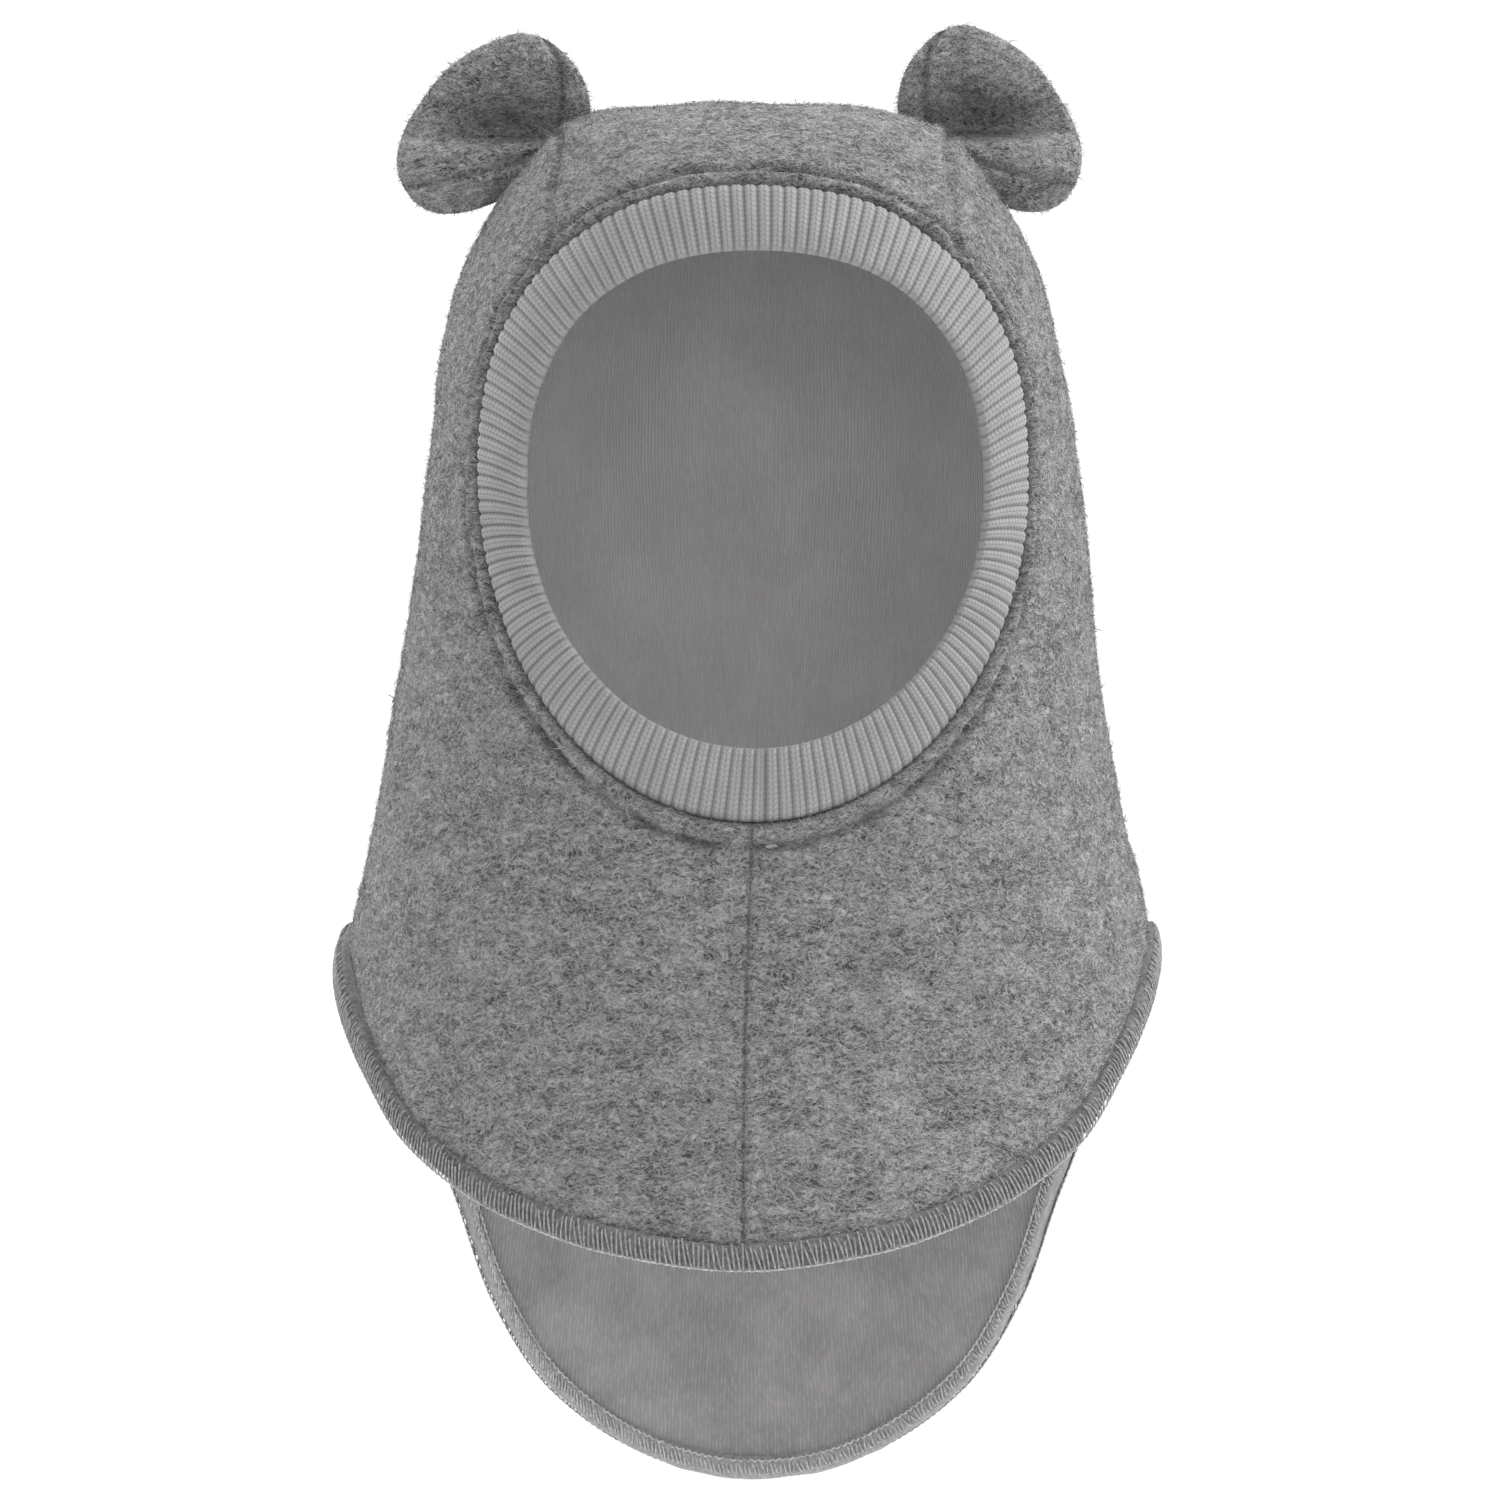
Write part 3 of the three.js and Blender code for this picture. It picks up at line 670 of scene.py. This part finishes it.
def closed_curve(points, count):
    """A smooth closed curve through points, with places evenly spaced by index."""
    n = len(points)
    t = np.linspace(0, n, count, endpoint=False)
    i = t.astype(int)
    f = (t - i)[:, None]
    p0, p1, p2, p3 = (points[(i + k) % n] for k in (-1, 0, 1, 2))
    return 0.5 * (2 * p1 + (p2 - p0) * f + (2 * p0 - 5 * p1 + 4 * p2 - p3) * f ** 2 + (3 * p1 - p0 - 3 * p2 + p3) * f ** 3)


EAR_SEAMS = (
    ((50, 25), (46.5, 19), (45.3, 12), (46, 1)),
    ((87, -15.5), (78, -14.6), (68, -12.4), (58, -9.5), (50, -6)),
)


def ear(name, side, shift, low, wide, tall, seed):
    rim = closed_curve(EAR_OUTLINE, 150)
    rings = 70
    turn = np.linspace(0, np.pi, rings)
    share = np.sin(turn)[:, None]
    at = EAR_MIDDLE + (rim[None] - EAR_MIDDLE) * share[..., None]
    x, z = at[..., 0], at[..., 1]
    full = 3.0 + 1.8 / (1 + np.exp((z - EAR_POCKET_Z) / 1.5))
    swell = full * np.sqrt(np.maximum(1 - share ** 5, 0)) * np.sign(np.cos(turn))[:, None]
    front = (np.cos(turn) > 0)[:, None]
    seam = np.minimum(*(seam_distance(x, z, line) for line in EAR_SEAMS))
    sink = 1.5 * np.exp(-((seam / 1.1) ** 2)) - 0.5 * np.exp(-(((seam - 2.6) / 1.5) ** 2))
    y = EAR_Y - ear_forward(x, z) - swell + np.where(front, sink, 0)
    points = np.stack([side * (39 + shift + (x - 39) * wide), y, low + z * tall], -1)
    points[..., 1] += 0.4 * lumps(points, 9, seed) + 0.2 * lumps(points, 4, seed + 1)
    made = make_mesh(name, points, grid_faces(rings, len(rim), False, True)[:, ::(1 if side > 0 else -1)])
    # Painted shade: the ear's wool is darkened along its seams, in a dark line along the fold and over the hollow
    # above it.
    fold = np.exp(-(((z - EAR_POCKET_Z - 0.2) / 1.0) ** 2) - ((x - 60) / 18) ** 2)
    hollow_shade = 0.72 * np.exp(-(((z - EAR_POCKET_Z - 4.5) / (7 - (x - 60) * 0.12)) ** 2) - ((x - 60) / 14) ** 2)
    crease_shade = front * (0.5 * np.exp(-((seam / 0.8) ** 2)) + np.maximum(fold, hollow_shade))
    add_value(made, "crease_shade", np.clip(crease_shade, 0, 1))
    made.data.materials.append(EAR_WOOL)
    return made, points


# Painted light: the ears get a copy of the wool with every colour 1.22 times lighter, standing in for light on the
# ears.
EAR_WOOL = wool_look("brushed_wool_ears_painted_lighter", 1.22)
ear_grids = {}
EARS = (("ear_left", 1, 0, -0.8, 1, 1, 51), ("ear_right", -1, 3.2, -2, 1.05, 0.965, 61))
for node, *form in EARS:
    made, points = ear("wool_" + node, *form)
    ear_grids[node] = points
    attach(made, "root")
    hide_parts(node)


# Loose wool fibres: the brushed face of the fleece stands out in fine curved hairs, light and
# dark mixed, lying mostly level in swirls and standing clear at the silhouette.
def fibre_look():
    look = Look("wool_fibres", Roughness=0.85, Sheen_Weight=0.1, Specular_IOR_Level=0.15)
    place = look.place()
    tone = look.between(wool_tone(look, place), 0.36, 0.64)
    own = look.attribute("own_tone")
    mixed = look.between(tone * 0.55 + own * 0.5, 0.05, 1.0)
    return look.finish(look.blend(mixed, grey(WOOL_DARK * 0.7), grey(WOOL_LIGHT * 1.35, 0.004)))


FIBRES = fibre_look()


def fibres(name, grid, per_mm2, long_share, seed, round_columns=False):
    """Hairs scattered over a grid of surface points: short straight ones and a few long curved."""
    rng = np.random.default_rng(seed)
    rows, columns = grid.shape[:2]
    quads = grid_faces(rows, columns, False, round_columns)
    flat = grid.reshape(-1, 3)
    a, b, c, d = (flat[quads[:, k]] for k in range(4))
    normal = np.cross(c - a, d - b)
    area = np.linalg.norm(normal, axis=1) / 2
    count = int(area.sum() * per_mm2)
    pick = rng.choice(len(quads), count, p=area / area.sum())
    s, t = rng.random((count, 1)), rng.random((count, 1))
    a, b, c, d = a[pick], b[pick], c[pick], d[pick]
    root = a * (1 - s) * (1 - t) + b * s * (1 - t) + c * s * t + d * (1 - s) * t
    out = unit(normal[pick])
    if not round_columns:
        out *= np.sign((out * (root - [0, 0, -110]) * [1, 1, 0.4]).sum(1, keepdims=True))
    level = unit(np.cross(out, np.array([0.03, 0.02, 1.0])))
    rise = np.cross(out, level)
    swirl = 0.7 * lumps(root, 26, seed + 1) + 0.6 * lumps(root, 8, seed + 2) + rng.normal(0, 0.5, count)
    swirl += np.pi * (rng.random(count) < 0.5)
    ahead = level * np.cos(swirl)[:, None] + rise * np.sin(swirl)[:, None]
    aside = np.cross(out, ahead)
    long = rng.random((count, 1)) < long_share
    length = rng.lognormal(0.5, 0.28, (count, 1)) * np.where(long, 1.6, 1)
    stand = np.abs(rng.normal(0.1, 0.12, (count, 1))) + 0.2 * (rng.random((count, 1)) < 0.06)
    curl = rng.normal(0, 0.24, (count, 1))
    middle = root + ahead * length * 0.5 + out * length * (0.08 + stand * 0.5) + aside * curl * length
    tip = root + ahead * length * 0.98 + out * length * (0.02 + stand) + aside * curl * length * 0.3
    tilt = rng.normal(0, 0.5, (count, 1))
    width = rng.uniform(0.07, 0.13, (count, 1))
    flat_dir = unit(aside * np.cos(tilt) + out * np.sin(tilt)) * width
    root = root - out * 0.2
    long = long[:, 0]
    bent = [root - flat_dir, root + flat_dir, middle - flat_dir * 0.8, middle + flat_dir * 0.8, tip]
    bent = np.stack(bent, 1)[long]
    straight = np.stack([root - flat_dir, root + flat_dir, tip], 1)[~long]
    base = (np.arange(len(bent)) * 5)[:, None]
    after = (len(bent) * 5 + np.arange(len(straight)) * 3)[:, None]
    faces = np.concatenate([base + [0, 1, 3], base + [0, 3, 2], base + [2, 3, 4], after + [0, 1, 2]])
    made = make_mesh(name, np.concatenate([bent.reshape(-1, 3), straight.reshape(-1, 3)]), faces, False)
    tone = rng.beta(0.9, 0.9, count)
    add_value(made, "own_tone", np.concatenate([np.repeat(tone[long], 5), np.repeat(tone[~long], 3)]))
    made.data.materials.append(FIBRES)
    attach(made, "root")
    return len(faces)


total = 0
for k, (node, grid) in enumerate(wool_grids.items()):
    total += fibres("fibres_" + node, grid, 2.0, 0.14, 70 + 3 * k)
for k, (node, grid) in enumerate(ear_grids.items()):
    turned = grid if node == "ear_right" else grid[:, ::-1]
    total += fibres("fibres_" + node, turned, 2.2, 0.1, 90 + 3 * k, True)
print("fibres", total)


# Studio: a pale round floor below the hood, a white world, a large soft lamp beside the camera
# that reaches the lining through the face opening, and soft lamps above, to the right and behind.
def area_light(name, place, aim, size, power):
    data = bpy.data.lights.new(name, "AREA")
    data.shape = "DISK"
    data.size = size
    data.energy = power
    made = bpy.data.objects.new(name, data)
    made.location = place
    direction = np.array(aim, float) - np.array(place, float)
    made.rotation_euler = (
        math.atan2(math.hypot(direction[0], direction[1]), -direction[2]),
        0,
        math.atan2(-direction[0], direction[1]),
    )
    bpy.context.scene.collection.objects.link(made)


turn = np.linspace(0, 2 * np.pi, 96, endpoint=False)
rim = np.stack([550 * np.cos(turn), 550 * np.sin(turn), 0 * turn - 400], -1)
floor = make_mesh("floor", rim, [list(range(96))])
floor_look = Look("pale_floor", Roughness=0.9, Specular_IOR_Level=0.0)
floor_tone = floor_look.blend(floor_look.noise(floor_look.place(), 0.01), grey(0.9), grey(0.93))
floor.data.materials.append(floor_look.finish(floor_tone))
world = bpy.data.worlds.new("studio")
world.use_nodes = True
world.node_tree.nodes["Background"].inputs["Color"].default_value = (1, 1, 1, 1)
world.node_tree.nodes["Background"].inputs["Strength"].default_value = 1.1
bpy.context.scene.world = world
area_light("front", (0.12, -2.1, -0.02), (0, 0, -0.12), 1.0, 18)
area_light("top", (0.2, -0.6, 1.2), (0, 0, -0.05), 0.8, 4)
area_light("right", (1.35, 0.05, 0.85), (0, 0, -0.12), 1.0, 34)
area_light("back", (-1.0, 1.0, 0.9), (0, 0, -0.12), 1.2, 42)
bpy.context.scene.view_settings.view_transform = "Standard"
